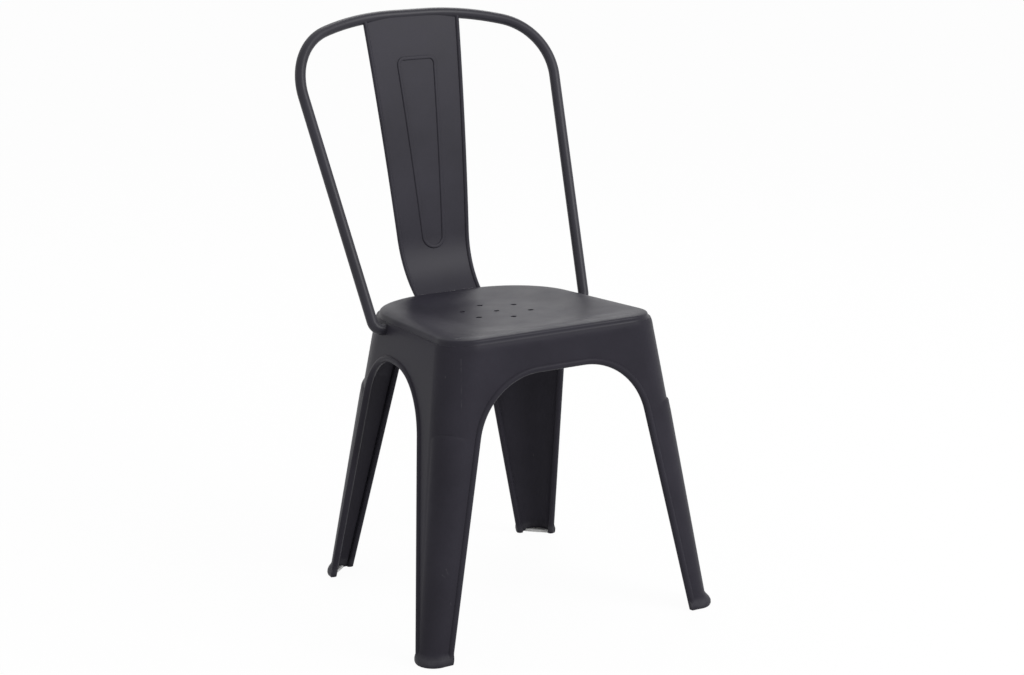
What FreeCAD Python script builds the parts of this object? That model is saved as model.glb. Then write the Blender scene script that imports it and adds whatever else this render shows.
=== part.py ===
import FreeCAD, Part
import math
import os

from FreeCAD import Placement, Rotation, Vector

# Stacking bistro chair of pressed sheet steel: four corner legs carry a dished seat pan,
# and a bent tube hoop with a pressed centre splat makes the back.
# Millimetres. +Z is up, the sitter faces -Y, and the floor is Z = 0.

# Driving dimensions: alias, value, meaning
DIMENSIONS = [
    ("sheet_thick", 1.2, "wall of every pressing"),
    ("foot_lift", 1.0, "sheet edge above the floor, the glides stand lower"),
    ("front_foot", 246.04, "front face from the origin, at the floor"),
    ("front_slope", 0.0985, "front face, run back per mm of rise"),
    ("rear_foot", 175.56, "rear face from the origin, at the floor"),
    ("rear_slope", 0.083, "rear face, run forward per mm of rise"),
    ("side_foot", 213.29, "side face from the middle, at the floor beside the origin"),
    ("side_slope", 0.121, "side face, run inward per mm of rise"),
    ("side_taper", 0.118, "side face at the floor, run inward per mm towards the rear"),
    ("deck_taper", 0.078, "the same at the top of the leg frame"),
    ("deck_height", 425.99, "top of the leg frame above the origin"),
    ("seat_tilt", 3.1, "seat falls to the rear, degrees"),
    ("shoulder", 26.7, "radius of the apron's inward bow below the seat pan"),
    ("shoulder_height", 12.3, "height of that bow"),
    ("foot_corner", 30.0, "corner radius of a leg at the floor"),
    ("front_deck_corner", 48.0, "front corner radius under the seat"),
    ("rear_deck_corner", 118.0, "rear corner radius under the seat"),
    ("flange_width", 20.0, "inward flange under the seat pan"),
    ("front_arch_radius", 100.0, "inner corners of the front arch"),
    ("rear_arch_radius", 70.0, "inner corners of the rear arch"),
    ("side_front_radius", 104.0, "front corner of the side arches"),
    ("side_rear_radius", 84.0, "rear corner of the side arches"),
    ("front_arch_top", 387.4, "height of the front arch"),
    ("front_arch_foot", 198.6, "half width of the front arch at the floor"),
    ("front_arch_slope", 0.2083, "front arch side, run inward per mm of rise"),
    ("rear_arch_top", 378.0, "height of the rear arch"),
    ("rear_arch_foot", 147.4, "half width of the rear arch at the floor"),
    ("rear_arch_slope", 0.232, "rear arch side, run inward per mm of rise"),
    ("side_arch_top", 373.0, "height of the side arches"),
    ("side_arch_front", 212.4, "front end of a side arch at the floor"),
    ("side_arch_front_slope", 0.27, "its run back per mm of rise"),
    ("side_arch_rear", 141.2, "rear end of a side arch at the floor"),
    ("side_arch_rear_slope", 0.2445, "its run forward per mm of rise"),
    ("rim_diameter", 10.0, "rolled rim along the arches and legs"),
    ("rim_sink", 2.2, "centre of the rolled rim behind the outer face"),
    ("step_height", 308.0, "middle of the stacking step on the leg corners"),
    ("step_rise", 20.0, "height over which the step swells out"),
    ("step_tilt", 0.8, "rise of the step's edge per mm outward, which arches it over the corner"),
    ("step_front_reach", 60.0, "raised corner along each face of a front leg"),
    ("step_rear_reach", 110.0, "the same on a rear leg"),
    ("raised_foot_corner", 26.0, "corner radius of the raised corner at the floor"),
    ("raised_front_corner", 35.0, "and of a front leg at the step"),
    ("raised_rear_corner", 84.0, "and of a rear leg at the step"),
    ("toe_height", 20.0, "height of the flared toe"),
    ("front_toe_flare", 7.0, "how far a front toe stands out at the corner"),
    ("rear_toe_flare", 4.3, "the same of a rear toe"),
    ("toe_side", 4.1, "the same where the corner's round ends"),
    ("toe_end", 3.6, "the same beside the arches"),
    ("toe_short", 1.0, "end of the toe inside the rolled rim"),
    ("pan_inset", 3.05, "seat pan's wall inside the apron's plane"),
    ("pan_rise", 10.4, "height of the seat pan above the leg frame"),
    ("pan_flare", 2.0, "height of the flare that meets the bowed apron"),
    ("pan_flare_run", 1.04, "how far the flare stands out"),
    ("pan_flare_round", 6.0, "round between flare and wall"),
    ("pan_wall", 6.5, "top of the upright wall above the flare"),
    ("pan_slope", 10.0, "width of the sloping edge above that wall"),
    ("pan_round", 4.2, "round between wall and slope"),
    ("pan_crown", 36.0, "round between slope and top"),
    ("dish_depth", 6.9, "depth of the seat's dish"),
    ("dish_margin", 14.0, "rim between the sloping edge and the dish"),
    ("dish_rim_round", 60.0, "round at the dish's rim"),
    ("dish_floor_round", 200.0, "round at the dish's floor"),
    ("dish_slope", 48.0, "width of the dish's sloping border"),
    ("dish_front_corner", 40.0, "front corner radius of the dish's rim"),
    ("dish_rear_corner", 96.0, "rear corner radius of the dish's rim"),
    ("dish_floor_corner", 52.0, "corner radius of the dish's floor"),
    ("drain_centre", -22.4, "middle of the drain holes, along Y"),
    ("drain_circle", 50.0, "radius of the ring of drain holes"),
    ("drain_diameter", 9.0, "drain hole"),
    ("tube_diameter", 16.0, "outside of the hoop tube"),
    ("tube_wall", 1.5, "wall of the hoop tube"),
    ("hoop_end", 138.0, "hoop end inside the apron, from the middle"),
    ("hoop_entry_half", 177.0, "lower bend of the hoop, from the middle"),
    ("hoop_entry_y", 20.3, "lower bend of the hoop, along Y"),
    ("hoop_entry_z", 414.5, "lower bend of the hoop, height"),
    ("hoop_entry_bend", 15.0, "radius of the lower bend"),
    ("hoop_corner_half", 219.3, "upper corner of the hoop, from the middle"),
    ("hoop_corner_y", 198.6, "upper corner of the hoop, along Y"),
    ("hoop_corner_z", 804.3, "upper corner of the hoop, height"),
    ("hoop_corner_bend", 96.0, "radius of the upper corner"),
    ("hoop_crown_half", 90.4, "where the crown turns, from the middle"),
    ("hoop_crown_y", 242.2, "crown of the hoop, along Y"),
    ("hoop_crown_z", 835.2, "crown of the hoop, height"),
    ("hoop_crown_bend", 318.0, "radius of the bowed crown"),
    ("splat_bend_y", 41.9, "centre of the splat's lower bend, along Y"),
    ("splat_bend_z", 527.8, "centre of the splat's lower bend, height"),
    ("splat_bend", 131.0, "radius of the splat's lower bend"),
    ("splat_bend_start", 8.7, "lean of the splat where the bend begins, degrees"),
    ("splat_bend_end", 52.0, "lean at the splat's lower end, degrees"),
    ("splat_top_y", 236.0, "splat at the crown, along Y"),
    ("splat_top_z", 836.0, "splat at the crown, height"),
    ("splat_half", 61.2, "half width of the splat where the bend begins"),
    ("splat_spread", 0.0623, "its growth per mm of rise"),
    ("splat_rim", 6.6, "rolled edge of the splat"),
    ("tongue_top", 772.0, "upper end of the raised tongue outline"),
    ("tongue_top_half", 31.0, "half width of the tongue at its upper end"),
    ("tongue_top_corner", 9.0, "corner radius at its upper end"),
    ("tongue_foot", 491.0, "lower end of the tongue"),
    ("tongue_foot_half", 16.0, "half width of the tongue at its round lower end"),
    ("tongue_line", 5.6, "width of the raised line"),
    ("tongue_height", 1.6, "how far the line stands out"),
    ("tongue_round", 1.7, "rounded edges of the line"),
    ("brace_width", 25.0, "cross strap under the seat"),
    ("brace_thick", 3.0, "cross strap"),
    ("brace_turn", 45.1, "strap from the X axis, degrees"),
    ("brace_cross", -6.0, "where the straps cross, along Y"),
    ("glide_height", 4.0, "foot glide"),
    ("glide_reach", 31.0, "foot glide along each wing of the leg"),
]

SIDES = {"left": -1, "right": 1}
LEFT_CORNERS = {"front": 0, "rear": 3}
FLOOR_MARGIN = 20.0
BEYOND = 400.0
BEHIND = 120.0
BED = 0.05
SETTLING = 8
DRAIN_RING = 6
ROUND_SHARE = 0.97
STEP_SHARES = ((1.0, -0.25), (0.88, 0.65), (0.74, 0.92), (0.5, 0.9), (0.0, 1.0))
TOE_ROOT = 0.75
TOE_SHARES = ((1.0, 0.0), (0.75, 0.3), (0.52, 0.8), (0.34, 1.0), (0.14, 0.95), (0.0, 0.72))
NEAR = 1e-4
CLOSE = 0.01

doc = FreeCAD.newDocument("BistroChair")
sizes = doc.addObject("Spreadsheet::Sheet", "Sizes")
for row, (alias, value, meaning) in enumerate(DIMENSIONS, start=1):
    sizes.set(f"A{row}", meaning)
    sizes.set(f"B{row}", str(value))
    sizes.setAlias(f"B{row}", alias)
doc.recompute()


def dim(alias):
    """Value of a driving dimension."""
    return float(getattr(sizes, alias))


def rounded_path(points, radii, closed=False):
    """Wire of straight runs through the points, with a tangent arc at each turning point."""
    count = len(points)
    turns = list(range(count)) if closed else list(range(1, count - 1))
    starts = list(points)
    ends = list(points)
    arcs = {}
    for turn, radius in zip(turns, radii):
        corner = points[turn]
        back = (points[turn - 1] - corner).normalize()
        ahead = (points[(turn + 1) % count] - corner).normalize()
        half_angle = back.getAngle(ahead) / 2
        starts[turn] = corner + back * (radius / math.tan(half_angle))
        ends[turn] = corner + ahead * (radius / math.tan(half_angle))
        inward = (back + ahead).normalize()
        middle = corner + inward * (radius / math.sin(half_angle) - radius)
        arcs[turn] = Part.Arc(starts[turn], middle, ends[turn]).toShape()
    edges = []
    for index in range(count):
        if index in arcs:
            edges.append(arcs[index])
        following = (index + 1) % count
        if following == 0 and not closed:
            break
        if (starts[following] - ends[index]).Length > NEAR:
            edges.append(Part.LineSegment(ends[index], starts[following]).toShape())
    return Part.Wire(edges)


def feature(name, shape):
    """Document object that holds a guide wire or a face."""
    obj = doc.addObject("Part::Feature", name)
    obj.Shape = shape
    return obj


def loft(name, sections):
    """Ruled solid through guide wires."""
    obj = doc.addObject("Part::Loft", name)
    obj.Sections = sections
    obj.Solid = True
    obj.Ruled = True
    return obj


def extrusion(name, base, direction, forward, backward=0.0):
    """Solid made by pushing a closed guide wire along a direction, by a length or a formula."""
    obj = doc.addObject("Part::Extrusion", name)
    obj.Base = base
    obj.DirMode = "Custom"
    obj.Dir = direction
    if isinstance(forward, str):
        obj.setExpression("LengthFwd", forward)
    else:
        obj.LengthFwd = forward
    obj.LengthRev = backward
    obj.Solid = True
    return obj


def sweep(name, path, radius):
    """Round bar along a guide path, its radius a formula of the sheet."""
    start = path.Shape.OrderedVertexes[0].Point
    first = path.Shape.OrderedEdges[0]
    heading = first.tangentAt(first.FirstParameter)
    profile = doc.addObject("Part::Circle", f"{name}_profile")
    profile.setExpression("Radius", radius)
    profile.Placement = Placement(start, Rotation(Vector(0, 0, 1), heading))
    obj = doc.addObject("Part::Sweep", name)
    obj.Sections = [profile]
    obj.Spine = (path, [f"Edge{i + 1}" for i in range(len(path.Shape.Edges))])
    obj.Solid = True
    return obj


def boolean(kind, name, base, tool):
    """Part::Cut, Part::Fuse or Part::Common of two objects."""
    obj = doc.addObject(f"Part::{kind}", name)
    obj.Base = base
    obj.Tool = tool
    obj.Refine = True
    return obj


def union(name, members):
    """One object from several."""
    obj = doc.addObject("Part::MultiFuse", name)
    obj.Shapes = members
    obj.Refine = True
    return obj


def mirrored(name, source):
    """Right-hand copy of a left-hand piece."""
    obj = doc.addObject("Part::Mirroring", name)
    obj.Source = source
    obj.Normal = Vector(1, 0, 0)
    return obj


def round_edges(name, base, *rules):
    """Fillet of the base's edges, each rule a radius and the test that its edges pass."""
    doc.recompute()
    obj = doc.addObject("Part::Fillet", name)
    obj.Base = base
    edges = list(enumerate(base.Shape.Edges, start=1))
    obj.Edges = [(i, radius, radius) for radius, test in rules for i, edge in edges if test(edge)]
    return obj


# The leg frame's envelope: four leaning faces with rounded corners

TILT = math.tan(math.radians(dim("seat_tilt")))
DECK_NORMAL = Vector(0, TILT, 1).normalize()


def taper(z):
    """Inward run of the side faces per mm towards the rear, at a height."""
    gain = dim("deck_taper") - dim("side_taper")
    return dim("side_taper") + gain * z / dim("deck_height")


def left_point(y, z, inset=0.0):
    """Point of the left face, moved in by an inset."""
    run = dim("side_foot") - dim("side_slope") * z - taper(z) * y
    lean = math.sqrt(1 + dim("side_slope") ** 2 + taper(z) ** 2)
    return Vector(inset * lean - run, y, z)


def front_point(x, z, inset=0.0):
    """Point of the front face."""
    lean = math.hypot(1, dim("front_slope"))
    return Vector(x, dim("front_slope") * z - dim("front_foot") + inset * lean, z)


def rear_point(x, z, inset=0.0):
    """Point of the rear face."""
    lean = math.hypot(1, dim("rear_slope"))
    return Vector(x, dim("rear_foot") - dim("rear_slope") * z - inset * lean, z)


def frame_corners(level, fall=0.0, inset=0.0):
    """Sharp corners of the envelope on the plane z = level - fall * y, moved in by an inset."""
    front_y = front_point(0, level, inset).y / (1 + dim("front_slope") * fall)
    rear_y = rear_point(0, level, inset).y / (1 - dim("rear_slope") * fall)
    front, rear = [left_point(y, level - fall * y, inset) for y in (front_y, rear_y)]
    return [front, Vector(-front.x, front.y, front.z), Vector(-rear.x, rear.y, rear.z), rear]


def frame_outline(name, level, front_radius, rear_radius, fall=0.0, inset=0.0):
    """Closed outline of the envelope at a level, with the given corner radii."""
    radii = [front_radius, front_radius, rear_radius, rear_radius]
    return feature(name, rounded_path(frame_corners(level, fall, inset), radii, closed=True))


def deck_outline(name, inset, drop=0.0):
    """Outline of the envelope parallel to its deck, moved in and down."""
    return frame_outline(
        name,
        dim("deck_height") - drop / DECK_NORMAL.z,
        dim("front_deck_corner") - inset,
        dim("rear_deck_corner") - inset,
        TILT,
        inset,
    )


def foot_radius(level, deck_corner):
    """Corner radius on the straight line from the floor to the deck."""
    gain = deck_corner - dim("foot_corner")
    return dim("foot_corner") + gain * level / dim("deck_height")


def on_deck(edge, offset):
    """True for an edge that lies on the deck plane moved along its normal."""
    height = dim("deck_height") * DECK_NORMAL.z + offset
    ends = [v.Point for v in edge.Vertexes]
    return all(abs(p.dot(DECK_NORMAL) - height) < CLOSE for p in ends)


def edge_spots(edge):
    """Ends and middle of an edge."""
    low, high = edge.ParameterRange
    return [edge.valueAt(place) for place in (low, (low + high) / 2, high)]


def follows(spots, guide):
    """True where every spot lies on a guide wire."""
    return all(guide.Shape.distToShape(Part.Vertex(spot))[0] < CLOSE for spot in spots)


def below_deck(name, drop):
    """Block that ends at the deck plane moved down."""
    block = doc.addObject("Part::Box", name)
    block.Length = 2 * BEYOND
    block.Width = 2 * BEYOND
    block.Height = 2 * BEYOND
    turn = Rotation(Vector(0, 0, 1), DECK_NORMAL)
    top = Vector(0, 0, dim("deck_height")) - DECK_NORMAL * drop
    block.Placement = Placement(top + turn.multVec(Vector(-BEYOND, -BEYOND, -2 * BEYOND)), turn)
    return block


def envelope(name, floor, inset):
    """Solid block of the leg frame, whose walls bow in below the deck."""
    crown = dim("shoulder") - dim("shoulder_height") - inset
    front_radius = foot_radius(floor, dim("front_deck_corner")) - inset
    rear_radius = foot_radius(floor, dim("rear_deck_corner")) - inset
    sections = [
        frame_outline(f"{name}_foot", floor, front_radius, rear_radius, 0.0, inset),
        deck_outline(f"{name}_crown", inset, -crown),
    ]
    block = loft(f"{name}_block", sections)
    bow = (dim("shoulder") - inset, lambda edge: on_deck(edge, crown))
    bowed = round_edges(f"{name}_bowed", block, bow)
    return boolean("Common", name, bowed, below_deck(f"{name}_limit", inset))


outer = envelope("frame_outer", dim("foot_lift"), 0.0)
inner = envelope("frame_inner", -FLOOR_MARGIN, dim("sheet_thick"))


# Raised corners of the lower legs, which swell out through the stacking step


def corner_frame(end, level, inset=0.0):
    """Sharp corner of one leg at a level, and the directions along its two faces."""
    corners = frame_corners(level, 0.0, inset)
    index = LEFT_CORNERS[end]
    corner = corners[index]
    ahead = (corners[(index + 1) % len(corners)] - corner).normalize()
    back = (corners[index - 1] - corner).normalize()
    return corner, ahead, back


def corner_round(end, level, radius, inset=0.0):
    """Outward direction, tip and tangent length of a leg's rounded corner."""
    corner, ahead, back = corner_frame(end, level, inset)
    half_angle = ahead.getAngle(back) / 2
    outward = (ahead + back).normalize() * -1
    tip = corner - outward * (radius / math.sin(half_angle) - radius)
    return outward, tip, radius / math.tan(half_angle)


def raised_radius(end, level):
    """Corner radius of a front or rear raised corner at a level."""
    foot = dim("raised_foot_corner")
    return foot + (dim(f"raised_{end}_corner") - foot) * level / dim("step_height")


def plane_spot(end, face, distance, inset, crest, tilt, tip, outward):
    """Point at a distance along one face of a corner, on a plane that rises outward to the tip."""
    level = crest
    for turn in range(SETTLING):
        corner, *faces = corner_frame(end, level, inset)
        point = corner + faces[face] * distance
        level = crest + tilt * outward.dot(point - tip)
    return Vector(point.x, point.y, level)


def raised_section(name, end, crest, tilt, radius, inset):
    """Outline of a leg corner on a plane that rises outward, closed behind the corner."""
    bed = inset + BED
    outward, tip, tangent = corner_round(end, crest, radius, bed)
    reach = dim(f"step_{end}_reach")
    spots = [
        plane_spot(end, face, distance, bed, crest, tilt, tip, outward)
        for face, distance in ((1, reach), (1, tangent), (0, tangent), (0, reach))
    ]
    hind = tip - outward * BEHIND - Vector(0, 0, tilt * BEHIND)
    edges = [
        Part.LineSegment(spots[0], spots[1]),
        Part.Arc(spots[1], tip, spots[2]),
        Part.LineSegment(spots[2], spots[3]),
        Part.LineSegment(spots[3], hind),
        Part.LineSegment(hind, spots[0]),
    ]
    return feature(name, Part.Wire([edge.toShape() for edge in edges]))


def raised_corner(name, end, floor, inset):
    """One sharper lower leg, which fades into the rounder upper one over the step."""
    sections = []
    for height, swell in STEP_SHARES:
        crest = dim("step_height") + (height - 1 / 2) * dim("step_rise")
        plain = foot_radius(crest, dim(f"{end}_deck_corner"))
        radius = plain + (raised_radius(end, crest) - plain) * swell - inset
        guide = f"{name}_{end}_guide_{len(sections)}"
        sections.append(raised_section(guide, end, crest, dim("step_tilt"), radius, inset))
    foot = raised_radius(end, floor) - inset
    sections.append(raised_section(f"{name}_{end}_foot", end, floor, 0.0, foot, inset))
    return loft(f"{name}_{end}", sections)


def raised_corners(name, floor, inset):
    """Raised corners of the left legs."""
    return [raised_corner(name, end, floor, inset) for end in LEFT_CORNERS]


pressed_outer = union("pressed_outer", [outer] + raised_corners("raised", dim("foot_lift"), 0.0))
pressed_inner = union(
    "pressed_inner", [inner] + raised_corners("raised_inner", -FLOOR_MARGIN, dim("sheet_thick"))
)
shell = boolean("Cut", "frame_shell", pressed_outer, pressed_inner)

flange_guide = deck_outline("flange_guide", dim("pan_inset") + dim("flange_width"))
flange_mouth = extrusion("flange_mouth", flange_guide, DECK_NORMAL, FLOOR_MARGIN, FLOOR_MARGIN)
shell = boolean("Cut", "flanged_shell", shell, flange_mouth)


# Arches between the legs, with a rolled rim along each


def arch_ends(foot, slope, top):
    """Positions of an arch's side at the floor margin and at its top, out to the rim's middle."""
    rim = dim("rim_diameter") / 2 * math.hypot(1, slope)
    return foot + rim + slope * FLOOR_MARGIN, foot + rim - slope * top


def arch(name, first, second, top, radii, place, outward):
    """Rim and cutter of one arch. A side is (direction, foot, slope), the cutter runs outward."""
    rim = dim("rim_diameter") / 2
    crest = top + rim
    spots = []
    for direction, foot, slope in (first, second):
        low, high = arch_ends(foot, slope, crest)
        run = [(direction * low, -FLOOR_MARGIN), (direction * high, crest)]
        spots += run if not spots else run[::-1]
    bends = [radius + rim for radius in radii]
    path = rounded_path([place(*spot, dim("rim_sink")) for spot in spots], bends)
    flat = [place(*spot) for spot in spots]
    flat = [p - outward * p.dot(outward) for p in flat]
    floor_line = Part.LineSegment(flat[-1], flat[0]).toShape()
    mouth = feature(f"{name}_mouth", Part.Wire(rounded_path(flat, bends).Edges + [floor_line]))
    bar = sweep(f"{name}_rim", feature(f"{name}_path", path), "Sizes.rim_diameter / 2")
    return bar, extrusion(f"{name}_cut", mouth, outward, BEYOND)


front_side = (dim("front_arch_foot"), dim("front_arch_slope"))
rear_side = (dim("rear_arch_foot"), dim("rear_arch_slope"))
arches = [
    arch(
        "front_arch",
        (-1, *front_side),
        (1, *front_side),
        dim("front_arch_top"),
        [dim("front_arch_radius")] * 2,
        front_point,
        Vector(0, -1, 0),
    ),
    arch(
        "rear_arch",
        (-1, *rear_side),
        (1, *rear_side),
        dim("rear_arch_top"),
        [dim("rear_arch_radius")] * 2,
        rear_point,
        Vector(0, 1, 0),
    ),
    arch(
        "left_arch",
        (-1, dim("side_arch_front"), dim("side_arch_front_slope")),
        (1, dim("side_arch_rear"), dim("side_arch_rear_slope")),
        dim("side_arch_top"),
        [dim("side_front_radius"), dim("side_rear_radius")],
        left_point,
        Vector(-1, 0, 0),
    ),
]
for index, (rim, cutter) in enumerate(arches):
    shell = boolean("Cut", f"arched_shell_{index}", shell, cutter)


# Flared toes at the outer corners of the feet


def wing_widths(end, level):
    """Width of a leg along its face ahead and its face behind, from the corner to the arches."""
    corner = corner_frame(end, level)[0]
    arch_half = dim(f"{end}_arch_foot") - dim(f"{end}_arch_slope") * level
    side_end = dim(f"side_arch_{end}") - dim(f"side_arch_{end}_slope") * level
    across = abs(corner.x) - arch_half - dim("toe_short")
    along = abs(corner.y) - side_end - dim("toe_short")
    return (across, along) if end == "front" else (along, across)


def toe_line(end, level, offsets):
    """Edges round one foot from wing to wing, moved out at the ends, the tangents and the tip."""
    corner, *faces = corner_frame(end, level)
    outward, tip, tangent = corner_round(end, level, raised_radius(end, level))
    ends, sides, middle = offsets
    spots = []
    for face, width in zip(faces, wing_widths(end, level)):
        normal = (outward - face * outward.dot(face)).normalize()
        spots.append((corner + face * tangent + normal * sides, corner + face * width + normal * ends))
    (first, first_end), (last, last_end) = spots
    return [
        Part.LineSegment(first_end, first),
        Part.Arc(first, tip + outward * middle, last),
        Part.LineSegment(last, last_end),
    ]


def toe_section(name, end, level, share):
    """Band round one foot: its inner line lies in the sheet, its outer line stands out by a share."""
    sheet = dim("sheet_thick")
    flares = [dim("toe_end"), dim("toe_side"), dim(f"{end}_toe_flare")]
    inner_line = toe_line(end, level, [-sheet * TOE_ROOT for flare in flares])
    skin = sheet * (1 - TOE_ROOT)
    outer_line = toe_line(end, level, [share * flare - (1 - share) * skin for flare in flares])
    closing = [
        Part.LineSegment(outer_line[2].EndPoint, inner_line[2].EndPoint),
        Part.LineSegment(inner_line[0].StartPoint, outer_line[0].StartPoint),
    ]
    edges = [edge.toShape() for edge in outer_line + inner_line + closing]
    return feature(name, Part.Wire(Part.__sortEdges__(edges)))


def toe(end):
    """Rounded lip along the bottom of one foot."""
    sections = []
    for height, share in TOE_SHARES:
        level = dim("foot_lift") + height * (dim("toe_height") - dim("foot_lift"))
        sections.append(toe_section(f"{end}_toe_{len(sections)}", end, level, share))
    return loft(f"{end}_toe", sections)


left_half = doc.addObject("Part::Box", "left_half")
left_half.Length = BEYOND
left_half.Width = 2 * BEYOND
left_half.Height = 2 * BEYOND
left_half.Placement = Placement(Vector(-BEYOND, -BEYOND, 0), Rotation())
half_shell = boolean("Common", "half_shell", shell, left_half)
toes = [toe(end) for end in LEFT_CORNERS]
frame = union("leg_frame", [half_shell] + [rim for rim, cutter in arches] + toes)


# Back hoop: one tube from apron to apron


def hoop_path():
    """Centreline of the hoop, mirrored about the middle."""
    half = [
        Vector(dim("hoop_end"), dim("hoop_entry_y"), dim("hoop_entry_z")),
        Vector(dim("hoop_entry_half"), dim("hoop_entry_y"), dim("hoop_entry_z")),
        Vector(dim("hoop_corner_half"), dim("hoop_corner_y"), dim("hoop_corner_z")),
        Vector(dim("hoop_crown_half"), dim("hoop_crown_y"), dim("hoop_crown_z")),
    ]
    other = [Vector(-p.x, p.y, p.z) for p in half]
    bends = [dim("hoop_entry_bend"), dim("hoop_corner_bend"), dim("hoop_crown_bend")]
    return rounded_path(half + other[::-1], bends + bends[::-1])


hoop_line = feature("hoop_line", hoop_path())
hoop_bar = sweep("hoop_bar", hoop_line, "Sizes.tube_diameter / 2")
hoop_bore = sweep("hoop_bore", hoop_line, "Sizes.tube_diameter / 2 - Sizes.tube_wall")
back_hoop = boolean("Cut", "back_hoop", hoop_bar, hoop_bore)


# The four legs: quarters of the leg frame


def hoop_passage():
    """Drill for the hole in the left apron where the hoop enters."""
    drill = doc.addObject("Part::Cylinder", "hoop_passage")
    drill.setExpression("Radius", "Sizes.tube_diameter / 2")
    drill.setExpression("Height", "Sizes.hoop_entry_half - Sizes.hoop_end")
    start = Vector(-dim("hoop_end"), dim("hoop_entry_y"), dim("hoop_entry_z"))
    drill.Placement = Placement(start, Rotation(Vector(0, 0, 1), Vector(-1, 0, 0)))
    return drill


split_y = (
    dim("side_arch_rear")
    - dim("side_arch_front")
    + (dim("side_arch_front_slope") - dim("side_arch_rear_slope")) * dim("side_arch_top")
) / 2


def left_leg(end):
    """One corner leg with its half aprons, pierced for the hoop where it passes."""
    name = f"{end}_left_leg"
    quarter = doc.addObject("Part::Box", f"{name}_quarter")
    quarter.Length = BEYOND
    quarter.Width = BEYOND
    quarter.Height = 2 * BEYOND
    low_y = split_y - BEYOND if end == "front" else split_y
    quarter.Placement = Placement(Vector(-BEYOND, low_y, 0), Rotation())
    quarter.setExpression("Placement.Base.z", "Sizes.foot_lift")
    if end == "front":
        return boolean("Common", name, frame, quarter)
    blank = boolean("Common", f"{name}_blank", frame, quarter)
    return boolean("Cut", name, blank, hoop_passage())


legs = []
for end in LEFT_CORNERS:
    legs.append(left_leg(end))
    legs.append(mirrored(f"{end}_right_leg", legs[-1]))


# Seat pan: a dished lid that stands on the leg frame


def dish_outline(name, inset, height, front_corner, rear_corner):
    """Outline of the dish at a height above the deck, moved in from the pan's wall."""
    edge = dim("pan_inset") + inset
    outline = frame_outline(name, dim("deck_height"), front_corner, rear_corner, TILT, edge)
    outline.Placement = Placement(DECK_NORMAL * height, Rotation())
    return outline


def pan_outer_lid(name):
    """Solid pan without its dish: flare, upright wall, sloping edge and top, with rounds between."""
    wall_inset = dim("pan_inset") + dim("pan_flare_run")
    sections = [
        deck_outline(f"{name}_base", dim("pan_inset")),
        deck_outline(f"{name}_flare", wall_inset, -dim("pan_flare")),
        deck_outline(f"{name}_brow", wall_inset, -dim("pan_wall")),
        deck_outline(f"{name}_top", wall_inset + dim("pan_slope"), -dim("pan_rise")),
    ]
    block = loft(f"{name}_block", sections)
    turns = {"pan_flare": "pan_flare_round", "pan_wall": "pan_round", "pan_rise": "pan_crown"}
    rules = [
        (dim(radius), lambda edge, level=dim(height): on_deck(edge, level))
        for height, radius in turns.items()
    ]
    return round_edges(f"{name}_lid", block, *rules)


def pan_inner_lid(name, inset):
    """Hollow under the pan: the same wall, slope and top, moved in by an inset."""
    wall_inset = dim("pan_inset") + dim("pan_flare_run") + inset
    wall = dim("pan_wall") - inset / 2
    rise = dim("pan_rise") - inset
    sections = [
        deck_outline(f"{name}_base", wall_inset),
        deck_outline(f"{name}_brow", wall_inset, -wall),
        deck_outline(f"{name}_top", wall_inset + dim("pan_slope"), -rise),
    ]
    block = loft(f"{name}_block", sections)
    brow = (dim("pan_round") - inset / 2, lambda edge: on_deck(edge, wall))
    crown = (dim("pan_crown") - inset, lambda edge: on_deck(edge, rise))
    return round_edges(f"{name}_lid", block, brow, crown)


def dished(name, lid, inset):
    """Lid with the dish pressed into its top, moved down by an inset."""
    rise = dim("pan_rise") - inset
    border = dim("pan_flare_run") + dim("pan_slope") + dim("dish_margin")
    above = dim("sheet_thick")
    lead = above * dim("dish_slope") / dim("dish_depth")
    depth = rise - dim("dish_depth")
    corners = [dim("dish_front_corner"), dim("dish_rear_corner")]
    floor_corners = [dim("dish_floor_corner")] * 2
    mouth = dish_outline(f"{name}_dish_mouth", border - lead, rise + above, *corners)
    rim = dish_outline(f"{name}_dish_rim", border, rise, *corners)
    floor = dish_outline(f"{name}_dish_floor", border + dim("dish_slope"), depth, *floor_corners)
    dish = loft(f"{name}_dish", [mouth, rim, floor])
    bottom = (dim("dish_floor_round"), lambda edge: on_deck(edge, depth))
    hollow = boolean("Cut", f"{name}_hollow", lid, round_edges(f"{name}_bowl", dish, bottom))
    lip = (dim("dish_rim_round"), lambda edge: follows(edge_spots(edge), rim))
    return round_edges(name, hollow, lip)


pan_outer = dished("pan_outer", pan_outer_lid("pan_outer"), 0.0)
sheet_thick = dim("sheet_thick")
pan_inner = dished("pan_inner", pan_inner_lid("pan_inner", sheet_thick), sheet_thick)
pan_shell = boolean("Cut", "pan_shell", pan_outer, pan_inner)


def drain_holes():
    """A hole in the middle and six round it."""
    middle = Vector(0, dim("drain_centre"), dim("deck_height") - TILT * dim("drain_centre"))
    turn = Rotation(Vector(0, 0, 1), DECK_NORMAL)
    places = [Vector(0, 0, 0)]
    for step in range(DRAIN_RING):
        angle = math.tau * step / DRAIN_RING
        places.append(Vector(-math.sin(angle), math.cos(angle), 0) * dim("drain_circle"))
    drills = []
    for number, place in enumerate(places):
        drill = doc.addObject("Part::Cylinder", f"drain_{number}")
        drill.setExpression("Radius", "Sizes.drain_diameter / 2")
        drill.setExpression("Height", "Sizes.pan_rise * 2")
        drill.Placement = Placement(middle + turn.multVec(place), turn)
        drills.append(drill)
    return union("drain_holes", drills)


seat_pan = boolean("Cut", "seat_pan", pan_shell, drain_holes())


# Back splat: bent sheet with rolled edges and a raised tongue outline


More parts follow.
